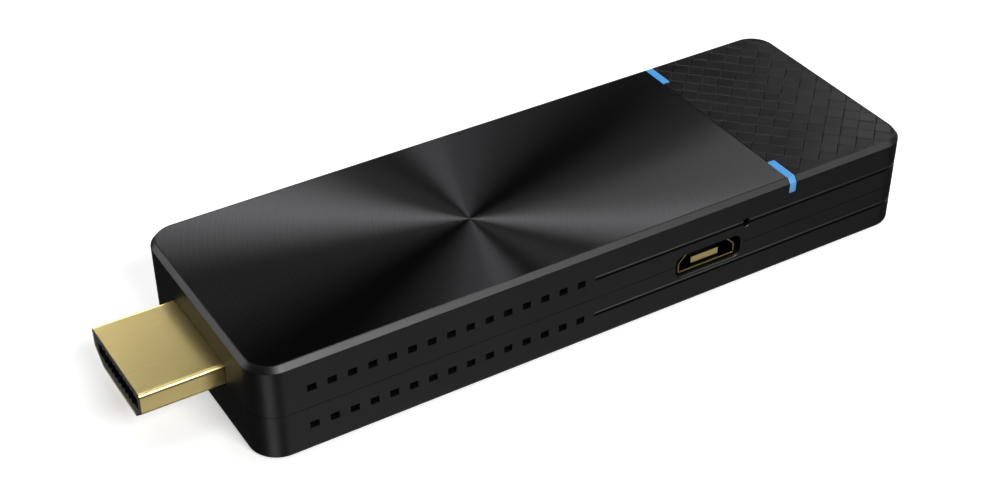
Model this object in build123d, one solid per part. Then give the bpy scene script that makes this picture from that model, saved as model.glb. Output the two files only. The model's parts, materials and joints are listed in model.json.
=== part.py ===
"""Streaming media stick: a slab-shaped two-part casing with a display plug at one end.

Frame, in millimetres: +X runs from the plug's mouth to the tail, +Y to the side without the
power socket, +Z up. The origin is under the middle of the whole object, on its bottom face.
Each function below makes one node or one family of nodes.
"""
import os
from math import atan, degrees, radians, tan

from build123d import *

# Casing
BODY_LENGTH = 89.8
BODY_WIDTH = 30.8
BODY_HEIGHT = 12.6
CORNER_RADIUS = 3.6
WALL = 1.2
FLOOR = 1.2
TOP_PLATE = 1.0
SEAM_HEIGHT = 5.9
FOOT_RADIUS = 0.4
RIM_CHAMFER_IN = 0.55
RIM_CHAMFER_DOWN = 0.65
LEAST_RADIUS = 0.3
FIT_GAP = 0.05
THROUGH = 1.0            # how far a cutting block stands past what it cuts

# Lip between the two halves, and its snap ridges
LIP_OUTER_INSET = 0.65
LIP_HEIGHT = 0.8
RIDGE_LENGTH = 5.0
RIDGE_HEIGHT = 0.3
RIDGE_PROUD = 0.2
RIDGE_RISE = 0.3
RIDGE_FROM_FRONT = (14.0, 46.0)
RIDGE_FROM_TAIL = 9.0

# Top panels
PANEL_THICKNESS = 0.5
ADHESIVE_THICKNESS = 0.15
PANEL_INSET = 0.65
TAIL_PANEL_LENGTH = 19.0     # from the tail to the joint between the two panels
PANEL_JOINT = 0.1
ADHESIVE_MARGIN = 0.6

# Light guides, at the joint between the two panels
GUIDE_WIDTH = 0.95
GUIDE_REACH = 4.5        # from the side face inwards, along the top
GUIDE_DROP = 2.0         # from the top face down the side
GUIDE_TOP_THICKNESS = 1.3
GUIDE_SIDE_THICKNESS = 0.8
GUIDE_LEG_FROM_SIDE = 2.4
GUIDE_LEG_THICKNESS = 1.0
LED_LENGTH = 1.6
LED_WIDTH = 0.8
LED_HEIGHT = 0.6
LED_TO_GUIDE = 0.1

# Vents and side grooves
VENT_COUNT = 15
VENT_PITCH = 2.46
VENT_WIDTH = 1.15
VENT_HEIGHT = 1.0
VENT_BELOW_LEDGE = 0.14  # middle of a vent row, under the groove's ledge in line with it
FIRST_VENT_FROM_FRONT = 6.45
GROOVE_FROM_FRONT = 42.8
GROOVE_LEDGES = (3.48, 8.68) # heights of the two ledges
GROOVE_DEPTH = 0.35
GROOVE_HEIGHT = 0.28
LEDGE_BEVEL_IN = 0.095    # bevel over each ledge
LEDGE_BEVEL_RISE = 0.28

# Main board and what holds it
BOARD_THICKNESS = 1.0
BOARD_RISE = 1.1         # underside above the seam
BOARD_GAP = 0.6          # board edge to casing wall
BOARD_PAST_GUIDES = 2.2  # tail edge of the board, from the light guides
POST_RADIUS = 1.6
FRONT_POST = (9.5, 2.9)      # from the front face, from the side wall
TAIL_POST = (4.0, 6.5)       # from the tail edge of the board, from the middle line
SIDE_SUPPORT = (42.0, 2.2)   # from the front face, from the side wall
SIDE_SUPPORT_RADIUS = 1.2
PIN_RADIUS = 0.75
SCREW_RADIUS = 0.8
SCREW_LENGTH = 3.0       # under the head
SCREW_HEAD_RADIUS = 1.5
SCREW_HEAD_HEIGHT = 0.9
SCREW_RECESS = (2.0, 0.4) # length and width of one slot of the cross
SCREW_RECESS_DEPTH = 0.5
SHAFT_GAP = 0.05         # radial, round pins and screws in the board
THREAD_GAP = 0.025       # radial, round the screws in their posts

# Display plug
PLUG_LENGTH = 9.8        # standing out of the front face
PLUG_INSIDE = 5.9        # behind the front face
PLUG_WIDTH = 13.9
PLUG_HEIGHT = 4.45
PLUG_SIDE_HEIGHT = 2.6
PLUG_BASE_WIDTH = 9.6
PLUG_ABOVE_BOARD = 0.4
PLUG_EDGE_RADIUS = 0.5
PLUG_SHEET = 0.3
PLUG_GAP = 0.12
PLUG_FACE_SETBACK = 0.06
PLUG_SLOT_WIDTH = 11.6
PLUG_SLOT_HEIGHT = 1.6
PLUG_SLOT_DEPTH = 7.5
PLUG_SLOT_BELOW_TOP = 1.35
EAR_LENGTH = 2.0
EAR_REACH = 1.6
EAR_FROM_FRONT = 2.0
CONTACT_PITCH = 1.0
UPPER_CONTACTS = 10
LOWER_CONTACTS = 9
CONTACT_WIDTH = 0.3
CONTACT_THICKNESS = 0.2
CONTACT_SETBACK = 1.2
CONTACT_TAIL = 1.5
NOTCH_GAP = 0.3
CRADLE_FROM_FRONT = 3.4
CRADLE_LENGTH = 1.2
CRADLE_WIDTH = 8.0

# Power socket
SOCKET_FROM_TAIL = 30.6
SOCKET_WIDTH = 8.4
SOCKET_HEIGHT = 2.7
SOCKET_CORNER_CUT = 1.2
SOCKET_LENGTH = 5.0
SOCKET_SHEET = 0.25
SOCKET_SETBACK = 0.5
SOCKET_EDGE_RADIUS = 0.3
POCKET_SIDE_GAP = 0.6
POCKET_BASE_GAP = 0.2
POCKET_TOP_GAP = 0.15
POCKET_CORNER_RADIUS = 1.1
TONGUE_WIDTH = 4.0
TONGUE_HEIGHT = 0.9
TONGUE_ABOVE_BASE = 0.27
TONGUE_SETBACK = 0.4
TONGUE_CAP_SHEET = 0.12
TONGUE_CAP_LENGTH = 1.6
SOCKET_BACK_THICKNESS = 1.4
SOCKET_PINS = 5
SOCKET_PIN_PITCH = 0.65
SOCKET_PIN_WIDTH = 0.3
SOCKET_PIN_THICKNESS = 0.12

# Reset switch
RESET_FROM_TAIL = 25.25
RESET_ABOVE_BOARD = 0.6
RESET_HOLE_RADIUS = 0.55
RESET_TRAVEL = 0.25
SWITCH_WIDTH = 4.6
SWITCH_DEPTH = 2.4
SWITCH_HEIGHT = 1.5
SWITCH_WALL = 0.3
SWITCH_FROM_WALL = 2.0
PLUNGER_WIDTH = 1.6
PLUNGER_HEIGHT = 0.6
PLUNGER_PROUD = 0.7
FLANGE_WIDTH = 2.6
FLANGE_THICKNESS = 0.4
FLANGE_HEIGHT = 0.8

# Chips, heat sink and small parts: length along X, width along Y, height
PROCESSOR = (14.0, 14.0, 1.2)
PROCESSOR_FROM_FRONT = 25.0
THERMAL_PAD_THICKNESS = 0.5
SINK = (26.0, 22.0, 1.0)
FIN_THICKNESS = 0.8
FIN_HEIGHT = 2.4
MEMORY_CHIP = (8.0, 12.0, 1.0)
MEMORY_FROM_FRONT = (19.0, 30.0)
MEMORY_OFFSET = 6.6      # towards +Y
FLASH_CHIP = (13.0, 11.5, 1.0)
FLASH_OFFSET = -7.4
POWER_CHIP = (4.0, 4.0, 0.85)
POWER_CHIP_PLACE = (46.0, -5.0)
COIL = (4.0, 4.0, 1.8)
COIL_RADIUS = 0.8
COIL_PLACES = ((46.0, 3.0), (52.0, 3.0))
CAPACITOR = (1.0, 0.5, 0.5)
CAPACITOR_ROWS = (-2.5, 4.5)     # across, on the top of the board
CAPACITOR_COLUMNS = 5
CAPACITOR_PITCH = 2.0
CAPACITOR_FIRST = 38.0
CRYSTAL = (3.2, 2.5, 0.7)
CRYSTAL_PLACE = (41.0, -6.5)

# Radio module, antennas and their leads
RADIO_BOARD = (12.0, 12.4, 0.6)
RADIO_FROM_BOARD_END = 18.5
RADIO_OFFSET = 6.6
RADIO_CAN = (8.0, 11.4, 1.4)
RADIO_CAN_SHEET = 0.2
RADIO_CAN_MARGIN = 0.4
LEAD_RADIUS = 0.56
LEAD_SOCKET = (2.6, 2.6, 0.25)
LEAD_PLUG_HEIGHT = 0.95
LEAD_OFFSETS = (2.6, 9.6)        # where the two leads leave the module, from the middle line
ANTENNA = (10.0, 9.0, 0.6)
ANTENNA_OFFSET = 7.6
ANTENNA_FROM_TAIL = 7.4
FOAM_THICKNESS = 0.5
FOAM_MARGIN = 0.5
FEED = (1.6, 1.6)
LEAD_FIRST_RUN = 4.0
LEAD_CROSSING_OFFSET = -2.4      # of the first lead, where it passes the tail edge of the board

# Places worked out from the sizes above
FRONT_X = -(PLUG_LENGTH + BODY_LENGTH) / 2 + PLUG_LENGTH
TAIL_X = FRONT_X + BODY_LENGTH
MOUTH_X = FRONT_X - PLUG_LENGTH
BODY_CENTRE_X = (FRONT_X + TAIL_X) / 2
HALF_WIDTH = BODY_WIDTH / 2
INNER_HALF_WIDTH = HALF_WIDTH - WALL
PANEL_RECESS = PANEL_THICKNESS + ADHESIVE_THICKNESS
RECESS_FLOOR = BODY_HEIGHT - PANEL_RECESS
CEILING = RECESS_FLOOR - TOP_PLATE
BOARD_UNDER = SEAM_HEIGHT + BOARD_RISE
BOARD_TOP = BOARD_UNDER + BOARD_THICKNESS
PANEL_JOINT_X = TAIL_X - TAIL_PANEL_LENGTH
GUIDE_START_X = PANEL_JOINT_X + PANEL_JOINT / 2
BOARD_END_X = GUIDE_START_X + GUIDE_WIDTH + BOARD_PAST_GUIDES
RADIO_FROM_FRONT = BOARD_END_X - RADIO_FROM_BOARD_END - FRONT_X
PLUG_TOP = BOARD_TOP + PLUG_ABOVE_BOARD
PLUG_BASE = PLUG_TOP - PLUG_HEIGHT
PLUG_END_X = FRONT_X + PLUG_INSIDE
NOTCH_END_X = PLUG_END_X + NOTCH_GAP
SOCKET_X = TAIL_X - SOCKET_FROM_TAIL
SOCKET_BASE = BOARD_UNDER - SOCKET_HEIGHT
SOCKET_MOUTH_Y = -HALF_WIDTH + SOCKET_SETBACK
SOCKET_END_Y = SOCKET_MOUTH_Y + SOCKET_LENGTH
TONGUE_BASE = SOCKET_BASE + SOCKET_SHEET + TONGUE_ABOVE_BASE
TONGUE_TIP_Y = SOCKET_MOUTH_Y + TONGUE_SETBACK
RESET_X = TAIL_X - RESET_FROM_TAIL
RESET_Z = BOARD_TOP + RESET_ABOVE_BOARD
SWITCH_FACE_Y = -INNER_HALF_WIDTH + SWITCH_FROM_WALL
PROCESSOR_X = FRONT_X + PROCESSOR_FROM_FRONT
VENT_ROWS = tuple(ledge - VENT_BELOW_LEDGE for ledge in GROOVE_LEDGES)
VENT_XS = tuple(FRONT_X + FIRST_VENT_FROM_FRONT + VENT_PITCH * i for i in range(VENT_COUNT))


# Shapes used by more than one node

def block(x, y, z):
    """Box between the low and high values of x, y and z."""
    size = [high - low for low, high in (x, y, z)]
    return Pos(*[sum(pair) / 2 for pair in (x, y, z)]) * Box(*size)


def chip(size, from_front, across, base):
    """Box of one component, standing on the height base."""
    length, width, height = size
    return Pos(FRONT_X + from_front, across, base + height / 2) * Box(length, width, height)


def rod(radius, x, y, z):
    """Upright cylinder between the low and high values of z."""
    return Pos(x, y, sum(z) / 2) * Cylinder(radius, z[1] - z[0])


def body_slab(inset, bottom, top, taper=0.0):
    """The casing's outline, moved in by inset, from one height to another."""
    radius = max(CORNER_RADIUS - inset, LEAST_RADIUS)
    outline = RectangleRounded(BODY_LENGTH - 2 * inset, BODY_WIDTH - 2 * inset, radius)
    return extrude(Pos(BODY_CENTRE_X, 0, bottom) * outline, top - bottom, taper=taper)


def prism_along_x(section, low, high):
    """Solid of a section drawn in Y and Z."""
    return extrude(Plane.YZ.offset(low) * section, high - low)


def prism_along_y(section, low, high):
    """Solid of a section drawn in X and Z."""
    return extrude(Plane.XZ.offset(-high) * section, high - low)


def plug_section(grow=0.0):
    """The plug across its length: wide top, upright sides and slanting lower corners."""
    half_top = PLUG_WIDTH / 2
    half_base = PLUG_BASE_WIDTH / 2
    side_foot = PLUG_TOP - PLUG_SIDE_HEIGHT
    outline = Polygon(
        (-half_top, PLUG_TOP), (-half_top, side_foot), (-half_base, PLUG_BASE),
        (half_base, PLUG_BASE), (half_top, side_foot), (half_top, PLUG_TOP), align=None)
    if grow:
        outline = offset(outline, grow, kind=Kind.INTERSECTION)
    return fillet(outline.vertices(), max(PLUG_EDGE_RADIUS + grow, LEAST_RADIUS / 3))


def socket_section():
    """The power socket across its length: wide base and cut upper corners."""
    half = SOCKET_WIDTH / 2
    shoulder = BOARD_UNDER - SOCKET_CORNER_CUT
    half_top = half - SOCKET_CORNER_CUT
    outline = Polygon(
        (SOCKET_X - half, SOCKET_BASE), (SOCKET_X + half, SOCKET_BASE), (SOCKET_X + half, shoulder),
        (SOCKET_X + half_top, BOARD_UNDER), (SOCKET_X - half_top, BOARD_UNDER),
        (SOCKET_X - half, shoulder), align=None)
    return fillet(outline.vertices(), SOCKET_EDGE_RADIUS)


# Casing

def side_groove(ledge):
    """Cut of one groove round the tail of the casing: a slot under a bevelled ledge."""
    along = (FRONT_X + GROOVE_FROM_FRONT, TAIL_X + THROUGH)
    across = (-HALF_WIDTH - THROUGH, HALF_WIDTH + THROUGH)
    foot = ledge - GROOVE_HEIGHT
    back = body_slab(GROOVE_DEPTH, foot, ledge)
    top = ledge + LEDGE_BEVEL_RISE
    bevel = body_slab(LEDGE_BEVEL_IN, ledge, top, taper=-degrees(atan(LEDGE_BEVEL_IN / LEDGE_BEVEL_RISE)))
    under = block(along, across, (foot, ledge)) - back
    edge = block(along, across, (ledge, top)) - bevel
    return under + edge


def vent_row(height):
    """Cuts of one row of vents, through both side walls."""
    cuts = []
    for x in VENT_XS:
        along = (x - VENT_WIDTH / 2, x + VENT_WIDTH / 2)
        upright = (height - VENT_HEIGHT / 2, height + VENT_HEIGHT / 2)
        for side in (-1, 1):
            across = sorted((side * (HALF_WIDTH + THROUGH), side * (INNER_HALF_WIDTH - FIT_GAP)))
            cuts.append(block(along, across, upright))
    return cuts


def snap_ridges(grow):
    """Ridges along the outside of the lip, or the room for them when grown."""
    places = [FRONT_X + reach for reach in RIDGE_FROM_FRONT] + [TAIL_X - RIDGE_FROM_TAIL]
    ridges = []
    for x in places:
        along = (x - RIDGE_LENGTH / 2 - grow, x + RIDGE_LENGTH / 2 + grow)
        low = SEAM_HEIGHT + RIDGE_RISE - grow
        for side in (-1, 1):
            face = HALF_WIDTH - LIP_OUTER_INSET
            across = sorted((side * (face - FIT_GAP), side * (face + RIDGE_PROUD + grow)))
            ridges.append(block(along, across, (low, low + RIDGE_HEIGHT + 2 * grow)))
    return ridges


def plug_opening():
    """Cut for the display plug through the front wall."""
    return prism_along_x(plug_section(PLUG_GAP), FRONT_X - THROUGH, FRONT_X + WALL + THROUGH)


def socket_opening():
    """Cut for the power socket through the side wall."""
    base = SOCKET_BASE - POCKET_BASE_GAP
    top = BOARD_UNDER + POCKET_TOP_GAP
    outline = RectangleRounded(SOCKET_WIDTH + 2 * POCKET_SIDE_GAP, top - base, POCKET_CORNER_RADIUS)
    section = Pos(SOCKET_X, (base + top) / 2) * outline
    return prism_along_y(section, -HALF_WIDTH - THROUGH, -INNER_HALF_WIDTH + THROUGH)


def guide_section(side, grow=0.0):
    """One light guide across the casing: a bar on top, a bar down the side and a leg to its lamp."""
    outer = HALF_WIDTH
    inner = HALF_WIDTH - GUIDE_REACH - grow
    bar_under = BODY_HEIGHT - GUIDE_TOP_THICKNESS - grow
    side_inner = HALF_WIDTH - GUIDE_SIDE_THICKNESS - grow
    side_foot = BODY_HEIGHT - GUIDE_DROP - grow
    leg_outer = HALF_WIDTH - GUIDE_LEG_FROM_SIDE + grow
    leg_inner = leg_outer - GUIDE_LEG_THICKNESS - 2 * grow
    leg_foot = BOARD_TOP + LED_HEIGHT + LED_TO_GUIDE - grow
    points = (
        (outer, side_foot), (outer, BODY_HEIGHT - RIM_CHAMFER_DOWN),
        (outer - RIM_CHAMFER_IN, BODY_HEIGHT), (inner, BODY_HEIGHT), (inner, bar_under),
        (leg_inner, bar_under), (leg_inner, leg_foot), (leg_outer, leg_foot),
        (leg_outer, bar_under), (side_inner, bar_under), (side_inner, side_foot))
    return make_face(Polyline(*[(side * y, z) for y, z in points], close=True))


def guide_slots():
    """Room for both light guides in the upper casing and the textured panel."""
    slots = []
    for side in (-1, 1):
        low = GUIDE_START_X - FIT_GAP
        slots.append(prism_along_x(guide_section(side, FIT_GAP), low, low + GUIDE_WIDTH + 2 * FIT_GAP))
    return slots


def upper_casing():
    """Upper half: chamfered rim, recess for the top panels, posts for the board."""
    straight = body_slab(0, SEAM_HEIGHT, BODY_HEIGHT - RIM_CHAMFER_DOWN)
    slant = degrees(atan(RIM_CHAMFER_IN / RIM_CHAMFER_DOWN))
    rim = body_slab(0, BODY_HEIGHT - RIM_CHAMFER_DOWN, BODY_HEIGHT, taper=slant)
    casing = straight + rim
    casing -= body_slab(WALL, SEAM_HEIGHT - THROUGH, CEILING)
    casing -= body_slab(PANEL_INSET - FIT_GAP, RECESS_FLOOR, BODY_HEIGHT + THROUGH)
    rebate_top = SEAM_HEIGHT + LIP_HEIGHT + FIT_GAP
    casing -= body_slab(LIP_OUTER_INSET - FIT_GAP, SEAM_HEIGHT - THROUGH, rebate_top)
    casing -= side_groove(GROOVE_LEDGES[1])
    casing -= vent_row(VENT_ROWS[1])
    casing -= snap_ridges(FIT_GAP)
    casing -= plug_opening()
    casing -= socket_opening()
    hole = Pos(RESET_X, -HALF_WIDTH, RESET_Z) * Rot(90, 0, 0) * Cylinder(RESET_HOLE_RADIUS, 3 * WALL)
    casing -= hole
    casing -= guide_slots()
    for x, y, kind in posts():
        casing += rod(POST_RADIUS, x, y, (BOARD_TOP, CEILING))
        if kind == "screw":
            depth = (BOARD_TOP - THROUGH, BOARD_UNDER + SCREW_LENGTH + SHAFT_GAP)
            casing -= rod(SCREW_RADIUS + THREAD_GAP, x, y, depth)
        else:
            pin = (BOARD_UNDER + FIT_GAP, BOARD_TOP + THROUGH)
            casing += rod(PIN_RADIUS, x, y, pin)
    return casing


def posts():
    """X, Y and kind of the upper casing's four posts: two take a screw, two have a locating pin."""
    front_x, front_y = FRONT_X + FRONT_POST[0], INNER_HALF_WIDTH - FRONT_POST[1]
    tail_x, tail_y = BOARD_END_X - TAIL_POST[0], TAIL_POST[1]
    return (
        (front_x, -front_y, "screw"), (front_x, front_y, "pin"),
        (tail_x, -tail_y, "pin"), (tail_x, tail_y, "screw"))


def lower_casing():
    """Lower half: floor, lip with snap ridges, supports under the board and the plug."""
    casing = body_slab(0, 0, SEAM_HEIGHT)
    casing = fillet(casing.edges().group_by(Axis.Z)[0], FOOT_RADIUS)
    casing += body_slab(LIP_OUTER_INSET, SEAM_HEIGHT - THROUGH, SEAM_HEIGHT + LIP_HEIGHT)
    casing -= body_slab(WALL, FLOOR, SEAM_HEIGHT + LIP_HEIGHT + THROUGH)
    casing -= side_groove(GROOVE_LEDGES[0])
    casing -= vent_row(VENT_ROWS[0])
    casing += snap_ridges(0)
    casing -= plug_opening()
    casing -= socket_opening()
    standing = (FLOOR - FIT_GAP, BOARD_UNDER)
    for x, y, kind in posts():
        if kind == "pin":
            casing += rod(POST_RADIUS, x, y, standing)
    for side in (-1, 1):
        across = side * (INNER_HALF_WIDTH - SIDE_SUPPORT[1])
        casing += rod(SIDE_SUPPORT_RADIUS, FRONT_X + SIDE_SUPPORT[0], across, standing)
    cradle_x = FRONT_X + CRADLE_FROM_FRONT
    casing += block(
        (cradle_x, cradle_x + CRADLE_LENGTH), (-CRADLE_WIDTH / 2, CRADLE_WIDTH / 2),
        (FLOOR - FIT_GAP, PLUG_BASE))
    return casing


# Top panels and light guides

def panel_area(inset, low_x, high_x, bottom, top):
    """Part of the casing's outline between two places along it."""
    across = (-HALF_WIDTH, HALF_WIDTH)
    return body_slab(inset, bottom, top) & block((low_x, high_x), across, (bottom, top))


def top_panels():
    """Spun panel, textured panel and the adhesive film under each."""
    film_top = RECESS_FLOOR + ADHESIVE_THICKNESS
    gap = PANEL_JOINT / 2
    spun = panel_area(PANEL_INSET, FRONT_X, PANEL_JOINT_X - gap, film_top, BODY_HEIGHT)
    textured = panel_area(PANEL_INSET, PANEL_JOINT_X + gap, TAIL_X, film_top, BODY_HEIGHT)
    film_inset = PANEL_INSET + ADHESIVE_MARGIN
    front_film = panel_area(
        film_inset, FRONT_X, PANEL_JOINT_X - ADHESIVE_MARGIN, RECESS_FLOOR, film_top)
    tail_film = panel_area(
        film_inset, GUIDE_START_X + GUIDE_WIDTH + ADHESIVE_MARGIN, TAIL_X, RECESS_FLOOR, film_top)
    return spun, textured - guide_slots(), Compound(children=[front_film, tail_film])


def light_guides():
    guides = []
    for side in (-1, 1):
        section = guide_section(side)
        guides.append(prism_along_x(section, GUIDE_START_X, GUIDE_START_X + GUIDE_WIDTH))
    return Compound(children=guides)


def blue_leds():
    centre = HALF_WIDTH - GUIDE_LEG_FROM_SIDE - GUIDE_LEG_THICKNESS / 2
    from_front = GUIDE_START_X + GUIDE_WIDTH / 2 - FRONT_X
    size = (LED_WIDTH, LED_LENGTH, LED_HEIGHT)
    return Compound(children=[chip(size, from_front, side * centre, BOARD_TOP) for side in (-1, 1)])


# Display plug

def plug_shell():
    inner = offset(plug_section(), -PLUG_SHEET, kind=Kind.INTERSECTION)
    shell = prism_along_x(plug_section() - inner, MOUTH_X, PLUG_END_X)
    ear_x = FRONT_X + EAR_FROM_FRONT
    for side in (-1, 1):
        across = sorted((side * (PLUG_WIDTH / 2 - PLUG_SHEET / 2), side * (PLUG_WIDTH / 2 + EAR_REACH)))
        shell += block((ear_x, ear_x + EAR_LENGTH), across, (BOARD_TOP, BOARD_TOP + PLUG_SHEET))
    return shell


def plug_contacts():
    """Both rows of contacts: a strip in the slot's wall, a riser and a tail on the board."""
    slot_top = PLUG_TOP - PLUG_SLOT_BELOW_TOP
    slot_base = slot_top - PLUG_SLOT_HEIGHT
    rows = (
        (UPPER_CONTACTS, slot_top, BOARD_TOP),
        (LOWER_CONTACTS, slot_base - CONTACT_THICKNESS, BOARD_UNDER - CONTACT_THICKNESS))
    riser = (PLUG_END_X, PLUG_END_X + CONTACT_THICKNESS)
    contacts = []
    for count, strip_base, tail_base in rows:
        for i in range(count):
            y = (i - (count - 1) / 2) * CONTACT_PITCH
            across = (y - CONTACT_WIDTH / 2, y + CONTACT_WIDTH / 2)
            strip = (strip_base, strip_base + CONTACT_THICKNESS)
            tail = (tail_base, tail_base + CONTACT_THICKNESS)
            contact = block((MOUTH_X + CONTACT_SETBACK, riser[1]), across, strip)
            contact += block(riser, across, (strip[0], tail[1]))
            contact += block((riser[0], NOTCH_END_X + CONTACT_TAIL), across, tail)
            contacts.append(contact)
    return Compound(children=contacts)


def plug_insulator(contacts):
    inner = offset(plug_section(), -PLUG_SHEET, kind=Kind.INTERSECTION)
    core = prism_along_x(inner, MOUTH_X + PLUG_FACE_SETBACK, PLUG_END_X)
    slot_top = PLUG_TOP - PLUG_SLOT_BELOW_TOP
    core -= block(
        (MOUTH_X - THROUGH, MOUTH_X + PLUG_SLOT_DEPTH), (-PLUG_SLOT_WIDTH / 2, PLUG_SLOT_WIDTH / 2),
        (slot_top - PLUG_SLOT_HEIGHT, slot_top))
    return core - contacts.solids()


# Power socket

def socket_shell():
    section = socket_section()
    inner = offset(section, -SOCKET_SHEET, kind=Kind.INTERSECTION)
    return prism_along_y(section - inner, SOCKET_MOUTH_Y, SOCKET_END_Y)


def tongue_core():
    """Plastic blade inside the plated cap."""
    half = TONGUE_WIDTH / 2 - TONGUE_CAP_SHEET
    heights = (TONGUE_BASE + TONGUE_CAP_SHEET, TONGUE_BASE + TONGUE_HEIGHT - TONGUE_CAP_SHEET)
    return block((SOCKET_X - half, SOCKET_X + half), (TONGUE_TIP_Y + TONGUE_CAP_SHEET, SOCKET_END_Y), heights)


def tongue_cap():
    half = TONGUE_WIDTH / 2
    cap = block(
        (SOCKET_X - half, SOCKET_X + half), (TONGUE_TIP_Y, TONGUE_TIP_Y + TONGUE_CAP_LENGTH),
        (TONGUE_BASE, TONGUE_BASE + TONGUE_HEIGHT))
    return cap - tongue_core()


def socket_contacts():
    """Five pins: under the tongue, out of the back and up to the board."""
    strip = (TONGUE_BASE + TONGUE_CAP_SHEET - SOCKET_PIN_THICKNESS, TONGUE_BASE + TONGUE_CAP_SHEET)
    start = TONGUE_TIP_Y + TONGUE_CAP_LENGTH + FIT_GAP
    riser = (SOCKET_END_Y, SOCKET_END_Y + SOCKET_PIN_THICKNESS)
    pins = []
    for i in range(SOCKET_PINS):
        x = SOCKET_X + (i - (SOCKET_PINS - 1) / 2) * SOCKET_PIN_PITCH
        along = (x - SOCKET_PIN_WIDTH / 2, x + SOCKET_PIN_WIDTH / 2)
        pin = block(along, (start, riser[1]), strip)
        pin += block(along, riser, (strip[0], BOARD_UNDER))
        pins.append(pin)
    return Compound(children=pins)


def socket_insulator(pins):
    inner = offset(socket_section(), -SOCKET_SHEET, kind=Kind.INTERSECTION)
    back = prism_along_y(inner, SOCKET_END_Y - SOCKET_BACK_THICKNESS, SOCKET_END_Y)
    return back + tongue_core() - pins.solids()


# Reset switch

def reset_plunger():
    half = PLUNGER_WIDTH / 2
    flange_y = SWITCH_FACE_Y + SWITCH_WALL + FIT_GAP
    nose = block(
        (RESET_X - half, RESET_X + half), (SWITCH_FACE_Y - PLUNGER_PROUD, flange_y + FLANGE_THICKNESS),
        (RESET_Z - PLUNGER_HEIGHT / 2, RESET_Z + PLUNGER_HEIGHT / 2))
    flange = block(
        (RESET_X - FLANGE_WIDTH / 2, RESET_X + FLANGE_WIDTH / 2), (flange_y, flange_y + FLANGE_THICKNESS),
        (RESET_Z - FLANGE_HEIGHT / 2, RESET_Z + FLANGE_HEIGHT / 2))
    return nose + flange


def reset_switch_case():
    """Switch housing: a closed box with a window for the plunger and a chamber behind it."""
    case = block(
        (RESET_X - SWITCH_WIDTH / 2, RESET_X + SWITCH_WIDTH / 2),
        (SWITCH_FACE_Y, SWITCH_FACE_Y + SWITCH_DEPTH),
        (BOARD_TOP, BOARD_TOP + SWITCH_HEIGHT))
    window = block(
        (RESET_X - PLUNGER_WIDTH / 2 - FIT_GAP, RESET_X + PLUNGER_WIDTH / 2 + FIT_GAP),
        (SWITCH_FACE_Y - THROUGH, SWITCH_FACE_Y + SWITCH_WALL + FIT_GAP),
        (RESET_Z - PLUNGER_HEIGHT / 2 - FIT_GAP, RESET_Z + PLUNGER_HEIGHT / 2 + FIT_GAP))
    back = SWITCH_FACE_Y + SWITCH_WALL + FLANGE_THICKNESS + RESET_TRAVEL + 3 * FIT_GAP  # room at full travel
    chamber = block(
        (RESET_X - FLANGE_WIDTH / 2 - FIT_GAP, RESET_X + FLANGE_WIDTH / 2 + FIT_GAP),
        (SWITCH_FACE_Y + SWITCH_WALL, back),
        (RESET_Z - FLANGE_HEIGHT / 2 - FIT_GAP, RESET_Z + FLANGE_HEIGHT / 2 + FIT_GAP))
    return case - window - chamber


# Boards and components

def main_board():
    board = panel_area(WALL + BOARD_GAP, FRONT_X, BOARD_END_X, BOARD_UNDER, BOARD_TOP)
    half_notch = PLUG_WIDTH / 2 + NOTCH_GAP / 2
    heights = (BOARD_UNDER - THROUGH, BOARD_TOP + THROUGH)
    board -= block((FRONT_X, NOTCH_END_X), (-half_notch, half_notch), heights)
    for x, y, kind in posts():
        radius = (SCREW_RADIUS if kind == "screw" else PIN_RADIUS) + SHAFT_GAP
        board -= rod(radius, x, y, heights)
    return board


def board_screws():
    """Screws up through the board into two posts, with a cross recess in the head."""
    screws = []
    head_base = BOARD_UNDER - SCREW_HEAD_HEIGHT
    for x, y, kind in posts():
        if kind == "screw":
            screw = rod(SCREW_RADIUS, x, y, (head_base, BOARD_UNDER + SCREW_LENGTH))
            screw += rod(SCREW_HEAD_RADIUS, x, y, (head_base, BOARD_UNDER))
            for size in (SCREW_RECESS, SCREW_RECESS[::-1]):
                screw -= Pos(x, y, head_base) * Box(*size, 2 * SCREW_RECESS_DEPTH)
            screws.append(screw)
    return Compound(children=screws)


def heat_sink():
    """Finned plate under the processor; each fin stands between two vents."""
    length, width, base = SINK
    top = BOARD_UNDER - PROCESSOR[2] - THERMAL_PAD_THICKNESS
    under = top - base
    sink = chip(SINK, PROCESSOR_FROM_FRONT, 0, under)
    for vent_x in VENT_XS:
        x = vent_x + VENT_PITCH / 2
        if abs(x - PROCESSOR_X) <= (length - FIN_THICKNESS) / 2:
            along = (x - FIN_THICKNESS / 2, x + FIN_THICKNESS / 2)
            sink += block(along, (-width / 2, width / 2), (under - FIN_HEIGHT, under))
    return sink


def processor_stack():
    under = BOARD_UNDER - PROCESSOR[2]
    pad = (PROCESSOR[0], PROCESSOR[1], THERMAL_PAD_THICKNESS)
    return (
        chip(PROCESSOR, PROCESSOR_FROM_FRONT, 0, under),
        chip(pad, PROCESSOR_FROM_FRONT, 0, under - THERMAL_PAD_THICKNESS))


def power_coils():
    coils = []
    for from_front, across in COIL_PLACES:
        body = chip(COIL, from_front, across, BOARD_UNDER - COIL[2])
        coils.append(fillet(body.edges().filter_by(Axis.Z), COIL_RADIUS))
    return Compound(children=coils)


def capacitors():
    parts = []
    for across in CAPACITOR_ROWS:
        for i in range(CAPACITOR_COLUMNS):
            from_front = CAPACITOR_FIRST + CAPACITOR_PITCH * i
            parts.append(chip(CAPACITOR, from_front, across, BOARD_TOP))
    return Compound(children=parts)


# Radio module and antennas

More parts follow.
